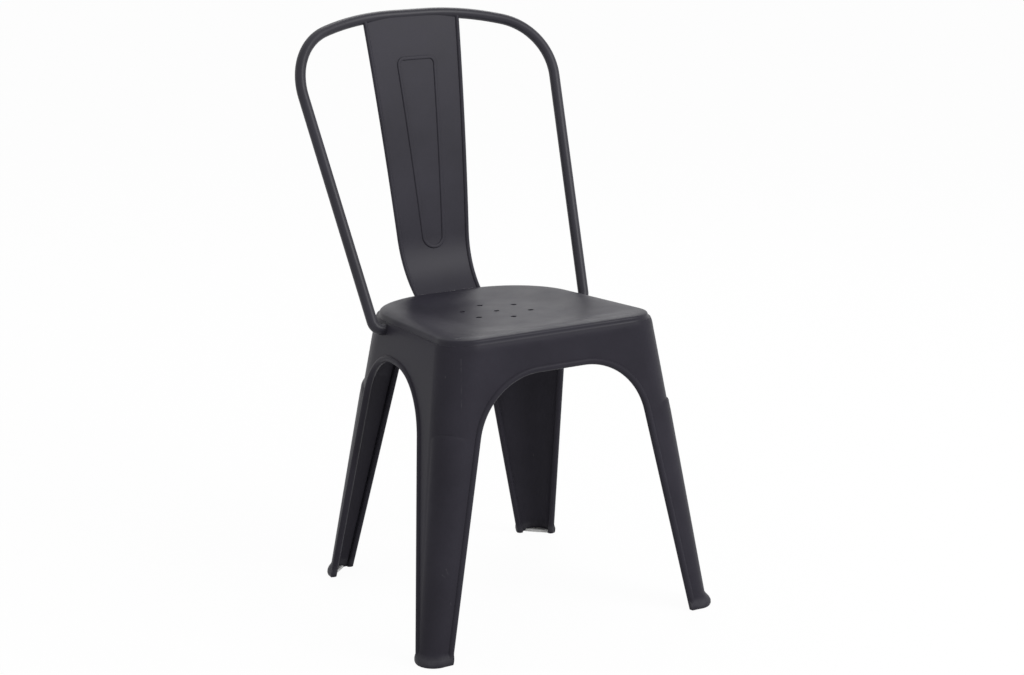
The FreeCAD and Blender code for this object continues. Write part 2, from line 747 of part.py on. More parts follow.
def splat_profile(offset, across=Vector(0, 0, 1), origin=Vector(0, 0, 0)):
    """Lower bend and long bow of the splat moved along its normal, in a plane through Y."""
    rise = across / across.z

    def place(y, z):
        return origin + Vector(0, y, 0) + rise * z

    bend = dim("splat_bend") + offset
    start = math.radians(dim("splat_bend_start"))
    end = math.radians(dim("splat_bend_end"))

    def bend_point(angle):
        y = dim("splat_bend_y") + math.cos(angle) * bend
        return place(y, dim("splat_bend_z") - math.sin(angle) * bend)

    foot = bend_point(start)
    top = place(
        dim("splat_top_y") + math.cos(start) * offset,
        dim("splat_top_z") - math.sin(start) * offset,
    )
    heading = (place(math.sin(start), math.cos(start)) - place(0, 0)).normalize()
    chord = top - foot
    bulge = chord.Length / 2 * math.tan(heading.getAngle(chord) / 2)
    aside = (heading - chord * (heading.dot(chord) / chord.Length**2)).normalize()
    lower = Part.Arc(bend_point(end), bend_point((start + end) / 2), foot)
    upper = Part.Arc(foot, foot + chord / 2 + aside * bulge, top)
    return [lower.toShape(), upper.toShape()]


def splat_layer(name, back, front):
    """Bent plate between two offsets of the splat's line, wider than the splat."""
    rear_line = splat_profile(back)
    front_line = splat_profile(front)
    ends = [
        Part.LineSegment(rear_line[1].Vertexes[1].Point, front_line[1].Vertexes[1].Point),
        Part.LineSegment(front_line[0].Vertexes[0].Point, rear_line[0].Vertexes[0].Point),
    ]
    edges = rear_line + front_line + [end.toShape() for end in ends]
    guide = feature(f"{name}_guide", Part.Wire(Part.__sortEdges__(edges)))
    return extrusion(name, guide, Vector(1, 0, 0), BEYOND, BEYOND)


def splat_half(z):
    """Half width of the splat at a height."""
    bend_top = dim("splat_bend_z") - dim("splat_bend") * math.sin(
        math.radians(dim("splat_bend_start"))
    )
    return dim("splat_half") + dim("splat_spread") * (z - bend_top)


def upright(name, wire):
    """Front-view outline pushed through the back of the chair."""
    return extrusion(name, feature(f"{name}_guide", wire), Vector(0, 1, 0), BEYOND)


def splat_rims(inset):
    """Rolled bars along both side edges."""
    rims = []
    for side, sign in SIDES.items():
        origin = Vector(sign * (splat_half(0) - inset), 0, 0)
        across = Vector(sign * dim("splat_spread"), 0, 1)
        path = feature(f"splat_{side}_line", Part.Wire(splat_profile(0.0, across, origin)))
        rims.append(sweep(f"splat_{side}_rim", path, "Sizes.splat_rim / 2"))
    return rims


def tongue_outline(grow):
    """Front-view outline of the tongue, grown by an amount: wide above, round below."""
    top = dim("tongue_top") + grow
    foot = dim("tongue_foot") - grow
    top_half = dim("tongue_top_half") + grow
    foot_half = dim("tongue_foot_half") + grow
    points = [
        Vector(-foot_half, 0, foot),
        Vector(-top_half, 0, top),
        Vector(top_half, 0, top),
        Vector(foot_half, 0, foot),
    ]
    half_angle = (points[1] - points[0]).getAngle(points[3] - points[0]) / 2
    round_end = ROUND_SHARE * foot_half * math.tan(half_angle)
    corner = dim("tongue_top_corner") + grow
    return rounded_path(points, [round_end, corner, corner, round_end], closed=True)


sheet_half = dim("sheet_thick") / 2
rim_inset = dim("splat_rim") / 2
splat_plate = splat_layer("splat_plate", sheet_half, -sheet_half)
splat_limit = dim("splat_top_z") + FLOOR_MARGIN
outline = [
    Vector(sign * (splat_half(z) - rim_inset), 0, z)
    for sign, z in ((-1, 0), (1, 0), (1, splat_limit), (-1, splat_limit))
]
splat_front = upright("splat_front", Part.makePolygon(outline + outline[:1]))
splat_sheet = boolean("Common", "splat_sheet", splat_plate, splat_front)
line_half = dim("tongue_line") / 2
tongue_ring = boolean(
    "Cut",
    "tongue_ring",
    upright("tongue_outer", tongue_outline(line_half)),
    upright("tongue_inner", tongue_outline(-line_half)),
)
line_front = -sheet_half - dim("tongue_height")
tongue_layer = splat_layer("tongue_layer", 0.0, line_front)
tongue_block = boolean("Common", "tongue_block", tongue_layer, tongue_ring)
front_line = feature("tongue_front_line", Part.Wire(splat_profile(line_front)))


def on_line_front(edge):
    """True for an edge on the front of the raised line."""
    return follows([Vector(0, spot.y, spot.z) for spot in edge_spots(edge)], front_line)


tongue = round_edges("tongue", tongue_block, (dim("tongue_round"), on_line_front))
splat_blank = union("splat_blank", [splat_sheet, tongue] + splat_rims(rim_inset))
splat_under_hoop = boolean("Cut", "splat_under_hoop", splat_blank, hoop_bar)
back_splat = boolean("Cut", "back_splat", splat_under_hoop, pan_outer)


# Cross straps under the seat


def brace(name, direction, depth):
    """Flat strap from corner to corner, its top a depth below the deck."""
    strap = doc.addObject("Part::Box", f"{name}_strap")
    strap.Length = 2 * BEYOND
    strap.setExpression("Width", "Sizes.brace_width")
    strap.setExpression("Height", "Sizes.brace_thick")
    lie = Rotation(Vector(0, 0, 1), DECK_NORMAL)
    turn = lie.multiply(Rotation(Vector(0, 0, 1), direction * dim("brace_turn")))
    cross = Vector(0, dim("brace_cross"), dim("deck_height") - TILT * dim("brace_cross"))
    low_corner = Vector(-BEYOND, -dim("brace_width") / 2, -depth - dim("brace_thick"))
    strap.Placement = Placement(cross + turn.multVec(low_corner), turn)
    return boolean("Common", name, strap, inner)


upper_depth = dim("sheet_thick")
braces = [
    brace("brace_strap_upper", 1, upper_depth),
    brace("brace_strap_lower", -1, upper_depth + dim("brace_thick")),
]


# Foot glides, pads that fill the feet and stand a little lower than the sheet


def left_glide(end):
    """Pad in the corner of one foot."""
    name = f"{end}_left_glide"
    reach = dim("glide_reach")
    corner, ahead, back = corner_frame(end, 0.0)
    spots = [corner, corner + ahead * reach, corner + back * reach, corner]
    guide = feature(f"{name}_guide", Part.makePolygon(spots))
    prism = extrusion(f"{name}_prism", guide, Vector(0, 0, 1), "Sizes.glide_height")
    pad = boolean("Common", f"{name}_pad", prism, pressed_inner)
    return boolean("Cut", name, pad, frame)


glides = []
for end in LEFT_CORNERS:
    glides.append(left_glide(end))
    glides.append(mirrored(f"{end}_right_glide", glides[-1]))

PIECES = [seat_pan, back_hoop, back_splat] + legs + braces + glides


def check_and_write():
    """Stop on any failed object, then write one file for each piece."""
    doc.recompute()
    for obj in doc.Objects:
        if "Invalid" in obj.State or "Error" in obj.State:
            raise RuntimeError(f"{obj.Label} failed: {obj.State}")
    for piece in PIECES:
        if piece.Shape.isNull() or not piece.Shape.isValid():
            raise RuntimeError(f"{piece.Label} has no valid shape")
    os.makedirs("parts", exist_ok=True)
    for piece in PIECES:
        piece.Shape.exportStep(f"parts/{piece.Label}.step")


check_and_write()
for piece in PIECES:
    box = piece.Shape.BoundBox
    print(piece.Label, len(piece.Shape.Solids), round(piece.Shape.Volume), box)
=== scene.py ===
import math

import bmesh
import bpy
from mathutils import Matrix, Vector


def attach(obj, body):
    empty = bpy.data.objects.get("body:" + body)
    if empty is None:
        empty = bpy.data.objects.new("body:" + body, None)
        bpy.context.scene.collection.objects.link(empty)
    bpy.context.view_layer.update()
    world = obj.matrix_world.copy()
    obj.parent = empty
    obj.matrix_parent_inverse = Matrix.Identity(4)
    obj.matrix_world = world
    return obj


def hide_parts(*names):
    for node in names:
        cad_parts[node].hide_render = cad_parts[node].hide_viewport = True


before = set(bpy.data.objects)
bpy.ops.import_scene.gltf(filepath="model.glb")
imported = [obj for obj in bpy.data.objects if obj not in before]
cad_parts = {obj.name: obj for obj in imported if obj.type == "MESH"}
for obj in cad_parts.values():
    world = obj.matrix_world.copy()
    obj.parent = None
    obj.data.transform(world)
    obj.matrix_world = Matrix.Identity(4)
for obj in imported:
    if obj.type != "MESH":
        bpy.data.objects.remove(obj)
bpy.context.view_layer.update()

bl_info = {
    "name": "Bistro chair",
    "version": (1, 0, 0),
    "blender": (4, 5, 0),
    "location": "3D View > Sidebar > Chair",
    "description": "Dresses a pressed steel stacking chair and sets a plain studio round it",
    "category": "Object",
}

BODY = "root"
LEGS = ("front_left_leg", "front_right_leg", "rear_left_leg", "rear_right_leg")
STRAPS = ("brace_strap_upper", "brace_strap_lower")
GLIDES = ("front_left_glide", "front_right_glide", "rear_left_glide", "rear_right_glide")

# Corners closer than this, in metres, are merged
MERGE = 1e-5
TUBE_SIDES = 36
BEND_STEPS = 28

# Powder coat: patterns per metre, the band used of each, and what that band is turned into
CLOUDS_PER_METRE = 9.0
CLOUD_DETAIL = 4.0
CLOUD_BREAKUP = 0.6
CLOUD_BAND = (0.3, 0.7)
CLOUD_TONES = (0.86, 1.16)
CLOUD_SATIN = (-0.03, 0.04)
GRAIN_PER_METRE = 2600.0
GRAIN_BAND = (0.35, 0.65)
GRAIN_TONES = (0.9, 1.1)
GRAIN_HEIGHT = 0.25
PEEL_DETAIL = 1.5
COAT_BUMP = 0.6
PLASTIC_BUMP = 0.5

# Upright scuffs, in patches
SCUFFS_PER_METRE = (420.0, 420.0, 26.0)
SCUFF_BAND = (0.78, 0.82)
PATCHES_PER_METRE = 14.0
PATCH_BAND = (0.55, 0.7)

# Rubbed band round the toes, partly wear and partly a painted highlight standing in for the lit
# top of the toe lip: its middle height and how it fades, in metres
TOE_HEIGHT = 0.009
TOE_FADE = (0.002, 0.008)
RUB_AND_HIGHLIGHT_PER_METRE = 70.0
RUB_AND_HIGHLIGHT_DETAIL = 3.0
RUB_AND_HIGHLIGHT_BAND = (0.3, 0.7)
RUB_AND_HIGHLIGHT_SHARE = (0.1, 0.4)

# Single marks, each with start, end and strength
CORNER_SCRATCHES = (
    ((-0.1545, -0.1962, 0.4210), (-0.1600, -0.2064, 0.3550), 0.18),
    ((-0.1995, -0.2303, 0.1363), (-0.1975, -0.2321, 0.1292), 0.25),
    ((-0.2052, -0.2290, 0.1282), (-0.2017, -0.2312, 0.1253), 0.25),
)
# Painted highlight: a bright glint on the front-left edge of the seat, drawn as a short line in
# the scuff colour
SEAT_EDGE_GLINT = (((-0.1526, -0.1779, 0.4445), (-0.1430, -0.1814, 0.4456), 1.0),)
SCRATCH_AND_GLINT_WIDTH = 0.0009
SCRATCH_AND_GLINT_BREAKS = 7.0
SCRATCH_AND_GLINT_BAND = (0.42, 0.6)

# Stage
WHITE = (1, 1, 1, 1)
FLOOR_ROUGHNESS = 0.9
LAMP_TARGET = Vector((0, 0, 0.45))
PICTURE_WIDTH = 36

# Spacing of the nodes in their editor
COLUMN = 220
ROW = -200


def length(name, default, description):
    """A size in metres that a user may change."""
    return bpy.props.FloatProperty(
        name=name, description=description, default=default, unit="LENGTH", precision=4
    )


def angle(name, degrees, description):
    """An angle that a user may change."""
    return bpy.props.FloatProperty(
        name=name, description=description, default=math.radians(degrees), subtype="ANGLE"
    )


def colour(name, default, description):
    """A finish colour that a user may change."""
    return bpy.props.FloatVectorProperty(
        name=name, description=description, default=default, size=4, subtype="COLOR", min=0, max=1
    )


def factor(name, default, description):
    """A share from 0 to 1 that a user may change."""
    return bpy.props.FloatProperty(
        name=name, description=description, default=default, subtype="FACTOR", min=0, max=1
    )


def amount(name, default, description):
    """A plain number that a user may change."""
    return bpy.props.FloatProperty(name=name, description=description, default=default)


def place(name, default, description):
    """A point in metres that a user may change."""
    return bpy.props.FloatVectorProperty(
        name=name, description=description, default=default, size=3, subtype="TRANSLATION"
    )


class ChairFinish(bpy.types.PropertyGroup):
    """Colours and surface of the powder coat and the glides."""

    # One powder coat, given a lighter or darker colour on each piece to match how lit or shaded
    # that piece looks: painted light and shade
    seat_colour: colour("Seat coat", (0.023, 0.0215, 0.030, 1), "Powder coat of the seat pan")
    splat_colour: colour("Splat coat", (0.031, 0.0292, 0.0385, 1), "Powder coat of the splat")
    hoop_colour: colour("Hoop coat", (0.025, 0.0235, 0.032, 1), "Powder coat of the back hoop")
    leg_colour: colour("Leg coat", (0.0280, 0.0262, 0.0345, 1), "Powder coat of the legs")
    strap_colour: colour("Strap coat", (0.018, 0.017, 0.022, 1), "Powder coat of the straps")
    # Lighter colour of the real scuffs and scratches, also used for the painted glint on the seat
    # edge and the painted highlight band round the toes
    scuff_and_highlight_colour: colour("Scuff", (0.16, 0.16, 0.17, 1), "Rubbed marks in the coat")
    coat_roughness: factor("Coat roughness", 0.42, "Satin of the powder coat")
    peel_size: amount("Peel per metre", 620.0, "Fineness of the coat's orange peel")
    peel_depth: length("Peel depth", 0.00012, "Depth of the coat's orange peel")
    seat_gloss: factor("Seat gloss", 0.15, "Specular level of the seat's and splat's coat")
    leg_gloss: factor("Leg gloss", 0.06, "Specular level of the legs' and straps' coat")
    tube_gloss: factor("Tube gloss", 0.26, "Specular level of the tube's coat")
    seat_wear: amount("Seat wear", 2.6, "How cloudy the seat's satin is, against the other pieces")
    seat_scuffs: factor("Seat scuffs", 0.15, "Strength of the scuffs on the seat")
    # Also sets the strength of the painted highlight band round the toes
    leg_scuffs_and_toe_highlight: factor("Leg scuffs", 0.5, "Strength of the scuffs on the legs")
    strap_scuffs: factor("Strap scuffs", 0.3, "Strength of the scuffs on the straps")
    glide_colour: colour("Glide", (0.74, 0.74, 0.73, 1), "Plastic of the foot glides")
    glide_roughness: factor("Glide roughness", 0.55, "Dullness of the glides' plastic")
    glide_peel: amount("Glide peel per metre", 900.0, "Fineness of the plastic's texture")
    glide_depth: length("Glide depth", 0.0001, "Depth of the plastic's texture")


class ChairShape(bpy.types.PropertyGroup):
    """Sizes of the hoop, and the smoothing of the pressings."""

    tube_radius: length("Hoop tube", 0.008, "Outside radius of the hoop tube")
    hoop_end: place("Hoop end", (0.138, 0.0203, 0.4145), "End of the hoop inside the apron")
    hoop_entry: place("Hoop entry", (0.177, 0.0203, 0.4145), "Lower bend of the hoop")
    hoop_corner: place("Hoop corner", (0.2193, 0.1986, 0.8043), "Upper corner of the hoop")
    hoop_crown: place("Hoop crown", (0.0904, 0.2422, 0.8352), "Where the crown turns")
    entry_bend: length("Entry bend", 0.015, "Radius of the lower bend")
    corner_bend: length("Corner bend", 0.096, "Radius of the upper corner")
    crown_bend: length("Crown bend", 0.318, "Radius of the bowed crown")
    smooth: angle("Smoothing", 32.0, "Edges below this angle are smoothed")


class ChairStage(bpy.types.PropertyGroup):
    """Camera, floor and lamps."""

    camera: place("Camera", (-1.5744, -2.8008, 1.2371), "Where the camera stands")
    heading: angle("Heading", 29.94, "Camera's heading from the chair's rear towards its right")
    fall: angle("Fall", 14.85, "How far the camera looks down")
    roll: angle("Roll", -0.18, "Camera's roll")
    lens: amount("Lens", 79.4, "Focal length for a 36 mm wide picture")
    floor: length("Floor", 60.0, "Width of the floor")
    floor_colour: colour("Floor colour", (0.9, 0.9, 0.9, 1), "Pale floor")
    floor_glow: factor("Floor glow", 0.96, "Share of plain white in the floor as seen")
    world: amount("World", 0.6, "Soft light from all round")
    key: amount("Key lamp", 66.0, "Watts of the lamp in front on the right")
    key_size: length("Key size", 1.6, "Width of the key lamp")
    key_place: place("Key place", (1.5, -2.4, 2.5), "Where the key lamp hangs")
    rear: amount("Rear lamp", 18.0, "Watts of the lamp behind on the right")
    rear_size: length("Rear size", 1.2, "Width of the rear lamp")
    rear_place: place("Rear place", (1.2, 1.6, 2.2), "Where the rear lamp hangs")


# Meshes


def add_object(name, data):
    """Object at the origin that shows a mesh, a lamp or a camera."""
    made = bpy.data.objects.new(name, data)
    bpy.context.scene.collection.objects.link(made)
    return made


def settle(piece):
    """Work a piece's modifiers into its mesh, and take them off."""
    graph = bpy.context.evaluated_depsgraph_get()
    mesh = bpy.data.meshes.new_from_object(piece.evaluated_get(graph))
    piece.modifiers.clear()
    piece.data = mesh
    return piece


def dressed_copy(node, limit):
    """Merged and smoothed copy of a node of the frame, which it replaces."""
    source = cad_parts[node].data
    mesh = bpy.data.meshes.new(f"{node}_skin")
    corners = [vertex.co for vertex in source.vertices]
    mesh.from_pydata(corners, [], [tuple(face.vertices) for face in source.polygons])
    bm = bmesh.new()
    bm.from_mesh(mesh)
    bmesh.ops.remove_doubles(bm, verts=bm.verts, dist=MERGE)
    bmesh.ops.dissolve_degenerate(bm, edges=bm.edges, dist=MERGE)
    bm.to_mesh(mesh)
    bm.free()
    mesh.shade_smooth()
    mesh.set_sharp_from_angle(angle=limit)
    piece = add_object(f"{node}_skin", mesh)
    weighted = piece.modifiers.new("Normals", "WEIGHTED_NORMAL")
    weighted.keep_sharp = True
    settle(piece)
    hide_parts(node)
    return piece


def finish_piece(piece, material):
    """Give a piece its finish and its place on the chair."""
    piece.data.materials.clear()
    piece.data.materials.append(material)
    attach(piece, BODY)


def dress(nodes, material):
    """Replace nodes of the frame with smoothed copies in one finish."""
    limit = bpy.context.scene.chair_shape.smooth
    for node in nodes:
        finish_piece(dressed_copy(node, limit), material)


# Node trees


def put(tree, kind, spot, **values):
    """Add a node at a column and row of the editor and set its properties."""
    node = tree.nodes.new(kind)
    node.location = (COLUMN * spot[0], ROW * spot[1])
    for name, value in values.items():
        setattr(node, name, value)
    return node


def give(node, **values):
    """Set a node's unlinked inputs by name."""
    for name, value in values.items():
        node.inputs[name.replace("_", " ")].default_value = value
    return node


def join(tree, *pairs):
    """Link outputs to inputs."""
    for output, target in pairs:
        tree.links.new(output, target)


def feed(tree, value, target):
    """Set an input to a number, or link an output to it."""
    if isinstance(value, (int, float)):
        target.default_value = value
    else:
        tree.links.new(value, target)


def new_group(name, kind, inputs, outputs):
    """Empty node group with named sockets."""
    tree = bpy.data.node_groups.new(name, kind)
    for label, socket, default in inputs:
        made = tree.interface.new_socket(name=label, in_out="INPUT", socket_type=socket)
        if default is not None:
            made.default_value = default
    for label, socket in outputs:
        tree.interface.new_socket(name=label, in_out="OUTPUT", socket_type=socket)
    return tree


def noise(tree, spot, vector, scale, detail=1.0, roughness=0.5):
    """Noise pattern on a vector, at a scale that may be a number or an output."""
    node = put(tree, "ShaderNodeTexNoise", spot)
    give(node, Detail=detail, Roughness=roughness)
    feed(tree, scale, node.inputs["Scale"])
    join(tree, (vector, node.inputs["Vector"]))
    return node.outputs["Fac"]


def spread(tree, spot, value, low, high, start=0.0, end=1.0):
    """Value mapped from one range to another, and held within it."""
    node = put(tree, "ShaderNodeMapRange", spot)
    feed(tree, low, node.inputs["From Min"])
    feed(tree, high, node.inputs["From Max"])
    feed(tree, start, node.inputs["To Min"])
    feed(tree, end, node.inputs["To Max"])
    join(tree, (value, node.inputs["Value"]))
    return node.outputs["Result"]


def maths(tree, spot, operation, first, second=0.0):
    """Sum, product or other operation of two values, either of which may be a number."""
    node = put(tree, "ShaderNodeMath", spot, operation=operation)
    feed(tree, first, node.inputs[0])
    feed(tree, second, node.inputs[1])
    return node.outputs["Value"]


def vector_maths(tree, spot, operation, first, second):
    """Difference, product or other operation of two vectors."""
    node = put(tree, "ShaderNodeVectorMath", spot, operation=operation)
    join(tree, (first, node.inputs[0]), (second, node.inputs[1]))
    return node


def scaled(tree, spot, vector, scale):
    """A vector or colour times a value."""
    node = put(tree, "ShaderNodeVectorMath", spot, operation="SCALE")
    join(tree, (vector, node.inputs[0]), (scale, node.inputs["Scale"]))
    return node.outputs["Vector"]


# Finishes


def powder_coat_group():
    """Shared look of the coat: cloudy tone, orange peel and fine grain."""
    name = "Powder coat"
    if name in bpy.data.node_groups:
        return bpy.data.node_groups[name]
    tree = new_group(
        name,
        "ShaderNodeTree",
        [
            ("Place", "NodeSocketVector", None),
            ("Coat", "NodeSocketColor", None),
            ("Roughness", "NodeSocketFloat", None),
            ("Peel", "NodeSocketFloat", None),
            ("Clouds", "NodeSocketFloat", None),
        ],
        [
            ("Colour", "NodeSocketColor"),
            ("Roughness", "NodeSocketFloat"),
            ("Height", "NodeSocketFloat"),
        ],
    )
    entry = put(tree, "NodeGroupInput", (0, 0))
    leave = put(tree, "NodeGroupOutput", (6, 0))
    where = entry.outputs["Place"]
    clouds = noise(tree, (1, 0), where, CLOUDS_PER_METRE, CLOUD_DETAIL, CLOUD_BREAKUP)
    grain = noise(tree, (1, 1), where, GRAIN_PER_METRE)
    peel = noise(tree, (1, 2), where, entry.outputs["Peel"], PEEL_DETAIL)
    tone = spread(tree, (2, 0), clouds, *CLOUD_BAND, *CLOUD_TONES)
    speck = spread(tree, (2, 1), grain, *GRAIN_BAND, *GRAIN_TONES)
    shade = maths(tree, (3, 0), "MULTIPLY", tone, speck)
    satin = spread(tree, (2, 3), clouds, *CLOUD_BAND, *CLOUD_SATIN)
    cloudy = maths(tree, (3, 4), "MULTIPLY", satin, entry.outputs["Clouds"])
    dull = maths(tree, (4, 3), "ADD", cloudy, entry.outputs["Roughness"])
    fine = maths(tree, (2, 2), "MULTIPLY", grain, GRAIN_HEIGHT)
    height = maths(tree, (3, 2), "ADD", peel, fine)
    join(
        tree,
        (scaled(tree, (4, 0), entry.outputs["Coat"], shade), leave.inputs["Colour"]),
        (dull, leave.inputs["Roughness"]),
        (height, leave.inputs["Height"]),
    )
    return tree


def scuff_and_toe_highlight_group():
    """Shared mask of short upright scratches, and a band round the toes that is partly rub wear
    and partly painted highlight.
    """
    name = "Scuffs"
    if name in bpy.data.node_groups:
        return bpy.data.node_groups[name]
    tree = new_group(
        name,
        "ShaderNodeTree",
        [("Place", "NodeSocketVector", None), ("Toe", "NodeSocketFloat", TOE_HEIGHT)],
        [("Mask", "NodeSocketFloat")],
    )
    entry = put(tree, "NodeGroupInput", (0, 0))
    leave = put(tree, "NodeGroupOutput", (6, 0))
    where = entry.outputs["Place"]
    stretch = put(tree, "ShaderNodeMapping", (1, 0))
    give(stretch, Scale=SCUFFS_PER_METRE)
    join(tree, (where, stretch.inputs["Vector"]))
    streaks = noise(tree, (2, 0), stretch.outputs["Vector"], 1.0)
    dashes = spread(tree, (3, 0), streaks, *SCUFF_BAND)
    spots = noise(tree, (2, 1), where, PATCHES_PER_METRE, 2.0)
    patches = spread(tree, (3, 1), spots, *PATCH_BAND)
    sparse = maths(tree, (4, 0), "MULTIPLY", dashes, patches)
    split = put(tree, "ShaderNodeSeparateXYZ", (1, 2))
    join(tree, (where, split.inputs["Vector"]))
    # Lighter band at toe height: rub wear mixed with a painted highlight of the toe lip
    above = maths(tree, (2, 2), "SUBTRACT", split.outputs["Z"], entry.outputs["Toe"])
    away = maths(tree, (3, 2), "ABSOLUTE", above)
    band = spread(tree, (4, 3), away, *TOE_FADE, 1.0, 0.0)
    rub_and_highlight_noise = noise(tree, (2, 3), where, RUB_AND_HIGHLIGHT_PER_METRE, RUB_AND_HIGHLIGHT_DETAIL)
    rub_and_highlight = spread(tree, (3, 3), rub_and_highlight_noise, *RUB_AND_HIGHLIGHT_BAND, *RUB_AND_HIGHLIGHT_SHARE)
    wear_and_highlight = maths(tree, (5, 2), "MULTIPLY", rub_and_highlight, band)
    join(tree, (maths(tree, (5, 0), "MAXIMUM", sparse, wear_and_highlight), leave.inputs["Mask"]))
    return tree


def scratch_and_glint_group():
    """Shared mask of one broken line along a straight run, used for real scratches and for the
    painted glint on the seat edge.
    """
    name = "Scratch line"
    if name in bpy.data.node_groups:
        return bpy.data.node_groups[name]
    tree = new_group(
        name,
        "ShaderNodeTree",
        [
            ("Place", "NodeSocketVector", None),
            ("Start", "NodeSocketVector", None),
            ("End", "NodeSocketVector", None),
            ("Width", "NodeSocketFloat", SCRATCH_AND_GLINT_WIDTH),
        ],
        [("Mask", "NodeSocketFloat")],
    )
    entry = put(tree, "NodeGroupInput", (0, 0))
    leave = put(tree, "NodeGroupOutput", (9, 0))
    start = entry.outputs["Start"]
    run = vector_maths(tree, (1, 0), "SUBTRACT", entry.outputs["End"], start).outputs["Vector"]
    reach = vector_maths(tree, (1, 1), "SUBTRACT", entry.outputs["Place"], start).outputs["Vector"]
    along = vector_maths(tree, (2, 0), "DOT_PRODUCT", reach, run).outputs["Value"]
    whole = vector_maths(tree, (2, 1), "DOT_PRODUCT", run, run).outputs["Value"]
    share = spread(tree, (4, 0), maths(tree, (3, 0), "DIVIDE", along, whole), 0.0, 1.0)
    foot = scaled(tree, (5, 0), run, share)
    gap = vector_maths(tree, (6, 0), "DISTANCE", reach, foot).outputs["Value"]
    core = spread(tree, (7, 0), gap, 0.0, entry.outputs["Width"], 1.0, 0.0)
    breaks = put(tree, "ShaderNodeTexNoise", (5, 1), noise_dimensions="1D")
    give(breaks, Scale=SCRATCH_AND_GLINT_BREAKS, Detail=1.0)
    join(tree, (share, breaks.inputs["W"]))
    dashes = spread(tree, (6, 1), breaks.outputs["Fac"], *SCRATCH_AND_GLINT_BAND)
    join(tree, (maths(tree, (8, 1), "MULTIPLY", core, dashes), leave.inputs["Mask"]))
    return tree


def scratch_and_glint_mask(tree, spot, scratches_and_glints, mask):
    """A mask with straight scratches and painted glints added to it, each (start, end, strength).
    """
    for row, (start, end, strength) in enumerate(scratches_and_glints, start=3):
        line = put(tree, "ShaderNodeGroup", (-5, row), node_tree=scratch_and_glint_group())
        give(line, Start=start, End=end)
        join(tree, (spot, line.inputs["Place"]))
        faint = maths(tree, (-4, row), "MULTIPLY", line.outputs["Mask"], strength)
        mask = maths(tree, (-3, row), "MAXIMUM", mask, faint)
    return mask


def textured_material(name, bump_strength, bump_depth, **look):
    """Material with the coat's roughness and bump: also gives its coordinates and coat colour."""
    material = bpy.data.materials.new(name)
    material.use_nodes = True
    tree = material.node_tree
    shader = tree.nodes["Principled BSDF"]
    spot = put(tree, "ShaderNodeTexCoord", (-6, 0)).outputs["Object"]
    group = put(tree, "ShaderNodeGroup", (-5, 0), node_tree=powder_coat_group())
    give(group, **look)
    bump = put(tree, "ShaderNodeBump", (-2, 2))
    give(bump, Strength=bump_strength, Distance=bump_depth)
    join(
        tree,
        (spot, group.inputs["Place"]),
        (group.outputs["Roughness"], shader.inputs["Roughness"]),
        (group.outputs["Height"], bump.inputs["Height"]),
        (bump.outputs["Normal"], shader.inputs["Normal"]),
    )
    return material, spot, group.outputs["Colour"]


def coat_material(name, coat, gloss, scuff_and_toe_highlight=0.0, scratches_and_glints=(), clouds=1.0):
    """Satin powder coat in a colour and gloss, with scuffs, single scratches and cloudy wear, plus
    a painted glint and a painted highlight band round the toes where given.
    """
    finish = bpy.context.scene.chair_finish
    material, spot, tint = textured_material(
        name,
        COAT_BUMP,
        finish.peel_depth,
        Coat=coat,
        Roughness=finish.coat_roughness,
        Peel=finish.peel_size,
        Clouds=clouds,
    )
    tree = material.node_tree
    shader = tree.nodes["Principled BSDF"]
    give(shader, Specular_IOR_Level=gloss)
    marks = put(tree, "ShaderNodeGroup", (-5, 2), node_tree=scuff_and_toe_highlight_group())
    share = maths(tree, (-4, 2), "MULTIPLY", marks.outputs["Mask"], scuff_and_toe_highlight)
    share = scratch_and_glint_mask(tree, spot, scratches_and_glints, share)
    # Mixes in real wear and painted highlights alike
    wear_and_highlight = put(tree, "ShaderNodeMix", (-3, 0), data_type="RGBA")
    give(wear_and_highlight, B=finish.scuff_and_highlight_colour)
    join(
        tree,
        (spot, marks.inputs["Place"]),
        (share, wear_and_highlight.inputs["Factor"]),
        (tint, wear_and_highlight.inputs["A"]),
        (wear_and_highlight.outputs["Result"], shader.inputs["Base Color"]),
    )
    return material


def plastic_material(name):
    """Moulded plastic of the glides, slightly cloudy and rough."""
    finish = bpy.context.scene.chair_finish
    material, _, tint = textured_material(
        name,
        PLASTIC_BUMP,
        finish.glide_depth,
        Coat=finish.glide_colour,
        Roughness=finish.glide_roughness,
        Peel=finish.glide_peel,
        Clouds=1.0,
    )
    tree = material.node_tree
    join(tree, (tint, tree.nodes["Principled BSDF"].inputs["Base Color"]))
    return material


# Back hoop


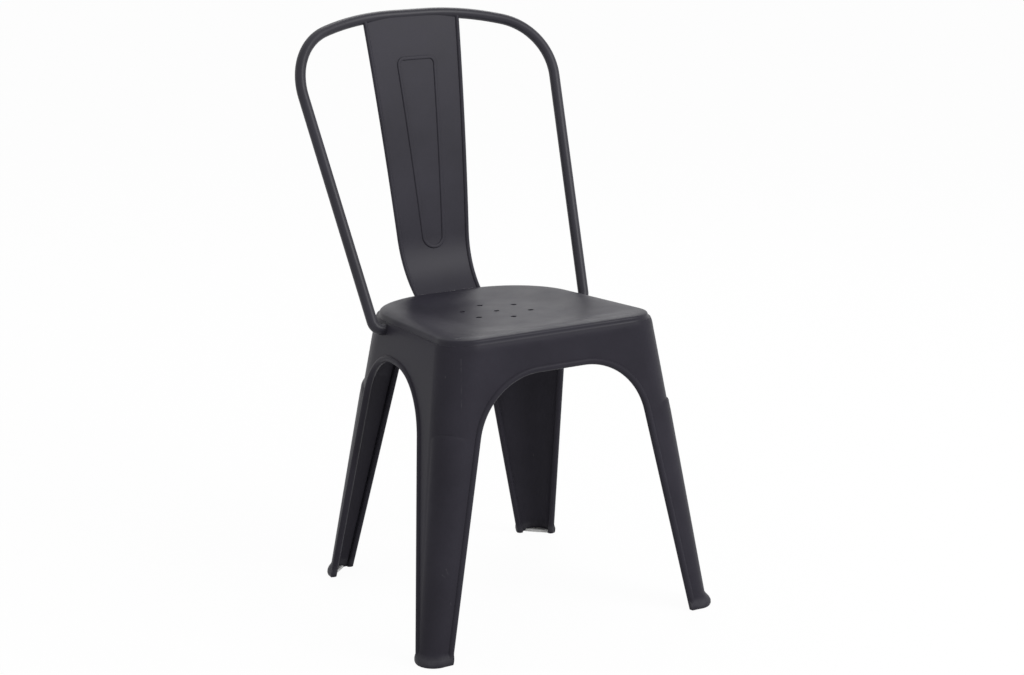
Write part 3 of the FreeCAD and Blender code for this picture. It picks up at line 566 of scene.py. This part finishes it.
def tube_tree():
    """Geometry nodes that turn a cornered line into a bent tube."""
    tree = new_group(
        "Bent tube",
        "GeometryNodeTree",
        [
            ("Line", "NodeSocketGeometry", None),
            ("Radius", "NodeSocketFloat", None),
            ("Finish", "NodeSocketMaterial", None),
        ],
        [("Tube", "NodeSocketGeometry")],
    )
    entry = put(tree, "NodeGroupInput", (0, 0))
    leave = put(tree, "NodeGroupOutput", (8, 0))
    line = put(tree, "GeometryNodeMeshToCurve", (1, 0))
    bend = put(tree, "GeometryNodeInputNamedAttribute", (1, 1), data_type="FLOAT")
    give(bend, Name="bend")
    turned = put(tree, "GeometryNodeFilletCurve", (2, 0), mode="POLY")
    give(turned, Count=BEND_STEPS)
    ring = put(tree, "GeometryNodeCurvePrimitiveCircle", (3, 1), mode="RADIUS")
    give(ring, Resolution=TUBE_SIDES)
    swept = put(tree, "GeometryNodeCurveToMesh", (4, 0))
    give(swept, Fill_Caps=True)
    shaded = put(tree, "GeometryNodeSetShadeSmooth", (5, 0))
    real = put(tree, "GeometryNodeRealizeInstances", (6, 0))
    coated = put(tree, "GeometryNodeSetMaterial", (7, 0))
    join(
        tree,
        (entry.outputs["Line"], line.inputs["Mesh"]),
        (line.outputs["Curve"], turned.inputs["Curve"]),
        (bend.outputs["Attribute"], turned.inputs["Radius"]),
        (turned.outputs["Curve"], swept.inputs["Curve"]),
        (entry.outputs["Radius"], ring.inputs["Radius"]),
        (ring.outputs["Curve"], swept.inputs["Profile Curve"]),
        (swept.outputs["Mesh"], shaded.inputs["Geometry"]),
        (shaded.outputs["Geometry"], real.inputs["Geometry"]),
        (real.outputs["Geometry"], coated.inputs["Geometry"]),
        (entry.outputs["Finish"], coated.inputs["Material"]),
        (coated.outputs["Geometry"], leave.inputs["Tube"]),
    )
    return tree


def socket_id(tree, label):
    """Identifier of a tree's input."""
    sockets = tree.interface.items_tree
    return next(s.identifier for s in sockets if s.name == label and s.in_out == "INPUT")


def bent_tube(name, points, bends, radius, material):
    """Tube along straight runs with a bend at each turning point."""
    mesh = bpy.data.meshes.new(name)
    mesh.from_pydata(points, [(i, i + 1) for i in range(len(points) - 1)], [])
    mesh.attributes.new("bend", "FLOAT", "POINT").data.foreach_set("value", bends)
    piece = add_object(name, mesh)
    tree = tube_tree()
    modifier = piece.modifiers.new("Tube", "NODES")
    modifier.node_group = tree
    modifier[socket_id(tree, "Radius")] = radius
    modifier[socket_id(tree, "Finish")] = material
    return settle(piece)


class CHAIR_OT_hoop(bpy.types.Operator):
    """Bend the tube of the back hoop"""

    bl_idname = "chair.hoop"
    bl_label = "Back hoop"

    def execute(self, context):
        shape = context.scene.chair_shape
        half = [shape.hoop_end, shape.hoop_entry, shape.hoop_corner, shape.hoop_crown]
        points = [Vector(p) for p in half]
        points += [Vector((-p.x, p.y, p.z)) for p in reversed(points)]
        bends = [0.0, shape.entry_bend, shape.corner_bend, shape.crown_bend]
        bends += bends[::-1]
        finish = context.scene.chair_finish
        material = coat_material("hoop_coat", finish.hoop_colour, finish.tube_gloss)
        piece = bent_tube("back_hoop_tube", points, bends, shape.tube_radius, material)
        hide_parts("back_hoop")
        finish_piece(piece, material)
        return {"FINISHED"}


# Pressings and glides


class CHAIR_OT_seat(bpy.types.Operator):
    """Dress the seat pan"""

    bl_idname = "chair.seat"
    bl_label = "Seat pan"

    def execute(self, context):
        finish = context.scene.chair_finish
        material = coat_material(
            "seat_coat",
            finish.seat_colour,
            finish.seat_gloss,
            finish.seat_scuffs,
            # Painted highlight: the glint on the seat's front-left edge
            SEAT_EDGE_GLINT,
            finish.seat_wear,
        )
        dress(("seat_pan",), material)
        return {"FINISHED"}


class CHAIR_OT_splat(bpy.types.Operator):
    """Dress the centre splat of the back"""

    bl_idname = "chair.splat"
    bl_label = "Back splat"

    def execute(self, context):
        finish = context.scene.chair_finish
        material = coat_material("splat_coat", finish.splat_colour, finish.seat_gloss)
        dress(("back_splat",), material)
        return {"FINISHED"}


class CHAIR_OT_legs(bpy.types.Operator):
    """Dress the four pressed legs"""

    bl_idname = "chair.legs"
    bl_label = "Legs"

    def execute(self, context):
        finish = context.scene.chair_finish
        material = coat_material(
            "leg_coat", finish.leg_colour, finish.leg_gloss, finish.leg_scuffs_and_toe_highlight, CORNER_SCRATCHES
        )
        dress(LEGS, material)
        return {"FINISHED"}


class CHAIR_OT_straps(bpy.types.Operator):
    """Dress the cross straps under the seat"""

    bl_idname = "chair.straps"
    bl_label = "Cross straps"

    def execute(self, context):
        finish = context.scene.chair_finish
        material = coat_material(
            "strap_coat", finish.strap_colour, finish.leg_gloss, finish.strap_scuffs
        )
        dress(STRAPS, material)
        return {"FINISHED"}


class CHAIR_OT_glides(bpy.types.Operator):
    """Dress the foot glides"""

    bl_idname = "chair.glides"
    bl_label = "Foot glides"

    def execute(self, context):
        dress(GLIDES, plastic_material("glide_plastic"))
        return {"FINISHED"}


# Stage


def seen_share(tree, column):
    """1 for rays from the camera, from a glossy surface or through glass, else 0."""
    path = put(tree, "ShaderNodeLightPath", (column, 1)).outputs
    seen = maths(
        tree, (column + 1, 1), "MAXIMUM", path["Is Camera Ray"], path["Is Glossy Ray"]
    )
    return maths(tree, (column + 2, 1), "MAXIMUM", seen, path["Is Transmission Ray"])


def floor_material(settings):
    """Pale floor that shows as white and keeps soft shadows."""
    material = bpy.data.materials.new("floor")
    material.use_nodes = True
    tree = material.node_tree
    shader = tree.nodes["Principled BSDF"]
    give(shader, Base_Color=settings.floor_colour, Roughness=FLOOR_ROUGHNESS)
    give(shader, Specular_IOR_Level=0.0)
    glow = put(tree, "ShaderNodeEmission", (-1, 2))
    share = maths(tree, (-1, 1), "MULTIPLY", seen_share(tree, -4), settings.floor_glow)
    mix = put(tree, "ShaderNodeMixShader", (1, 0))
    join(
        tree,
        (share, mix.inputs["Fac"]),
        (shader.outputs["BSDF"], mix.inputs[1]),
        (glow.outputs["Emission"], mix.inputs[2]),
        (mix.outputs["Shader"], tree.nodes["Material Output"].inputs["Surface"]),
    )
    return material


def lay_floor(settings):
    """Square floor under the chair."""
    half = settings.floor / 2
    mesh = bpy.data.meshes.new("floor")
    mesh.from_pydata(
        [(-half, -half, 0), (half, -half, 0), (half, half, 0), (-half, half, 0)],
        [],
        [(0, 1, 2, 3)],
    )
    mesh.materials.append(floor_material(settings))
    floor = add_object("floor", mesh)


def white_world(settings):
    """Even soft light, seen as plain white."""
    world = bpy.data.worlds.new("studio")
    world.use_nodes = True
    bpy.context.scene.world = world
    tree = world.node_tree
    background = tree.nodes["Background"]
    give(background, Color=WHITE)
    strength = spread(tree, (-2, 1), seen_share(tree, -5), 0.0, 1.0, settings.world, 1.0)
    join(tree, (strength, background.inputs["Strength"]))


def area_lamp(name, watts, size, spot):
    """Soft square lamp that points at the seat."""
    data = bpy.data.lights.new(name, "AREA")
    data.energy = watts
    data.size = size
    lamp = add_object(name, data)
    lamp.location = spot
    aim = LAMP_TARGET - Vector(spot)
    lamp.rotation_euler = aim.to_track_quat("-Z", "Y").to_euler()


def stand_camera(settings):
    """Camera at its place, turned by its heading, fall and roll."""
    data = bpy.data.cameras.new("camera")
    data.sensor_fit = "HORIZONTAL"
    data.sensor_width = PICTURE_WIDTH
    data.lens = settings.lens
    camera = add_object("camera", data)
    turn = Matrix.Rotation(-settings.heading, 4, "Z")
    turn @= Matrix.Rotation(math.pi / 2 - settings.fall, 4, "X")
    turn @= Matrix.Rotation(settings.roll, 4, "Z")
    camera.matrix_world = Matrix.Translation(settings.camera) @ turn
    return camera


class CHAIR_OT_stage(bpy.types.Operator):
    """Set the floor, the lamps and the camera"""

    bl_idname = "chair.stage"
    bl_label = "Stage"

    def execute(self, context):
        settings = context.scene.chair_stage
        lay_floor(settings)
        white_world(settings)
        area_lamp("key_lamp", settings.key, settings.key_size, settings.key_place)
        area_lamp("rear_lamp", settings.rear, settings.rear_size, settings.rear_place)
        context.scene.camera = stand_camera(settings)
        context.scene.view_settings.view_transform = "Standard"
        return {"FINISHED"}


# Add-on

GROUPS = {
    "chair_finish": ChairFinish,
    "chair_shape": ChairShape,
    "chair_stage": ChairStage,
}
OPERATORS = (
    CHAIR_OT_seat,
    CHAIR_OT_hoop,
    CHAIR_OT_splat,
    CHAIR_OT_legs,
    CHAIR_OT_straps,
    CHAIR_OT_glides,
    CHAIR_OT_stage,
)


class CHAIR_PT_panel(bpy.types.Panel):
    """Chair pieces in the sidebar"""

    bl_label = "Bistro chair"
    bl_idname = "CHAIR_PT_panel"
    bl_space_type = "VIEW_3D"
    bl_region_type = "UI"
    bl_category = "Chair"

    def draw(self, context):
        for operator in OPERATORS:
            self.layout.operator(operator.bl_idname)
        for group in GROUPS:
            settings = getattr(context.scene, group)
            for name in settings.__annotations__:
                self.layout.prop(settings, name)


def register():
    """Register the settings, the operators and the panel."""
    for name, group in GROUPS.items():
        bpy.utils.register_class(group)
        setattr(bpy.types.Scene, name, bpy.props.PointerProperty(type=group))
    for operator in OPERATORS:
        bpy.utils.register_class(operator)
    bpy.utils.register_class(CHAIR_PT_panel)


def unregister():
    """Take everything out again."""
    bpy.utils.unregister_class(CHAIR_PT_panel)
    for operator in reversed(OPERATORS):
        bpy.utils.unregister_class(operator)
    for name, group in GROUPS.items():
        delattr(bpy.types.Scene, name)
        bpy.utils.unregister_class(group)


def main():
    """Build every piece and the stage."""
    register()
    for operator in OPERATORS:
        family, action = operator.bl_idname.split(".")
        getattr(getattr(bpy.ops, family), action)()


if __name__ == "__main__":
    main()
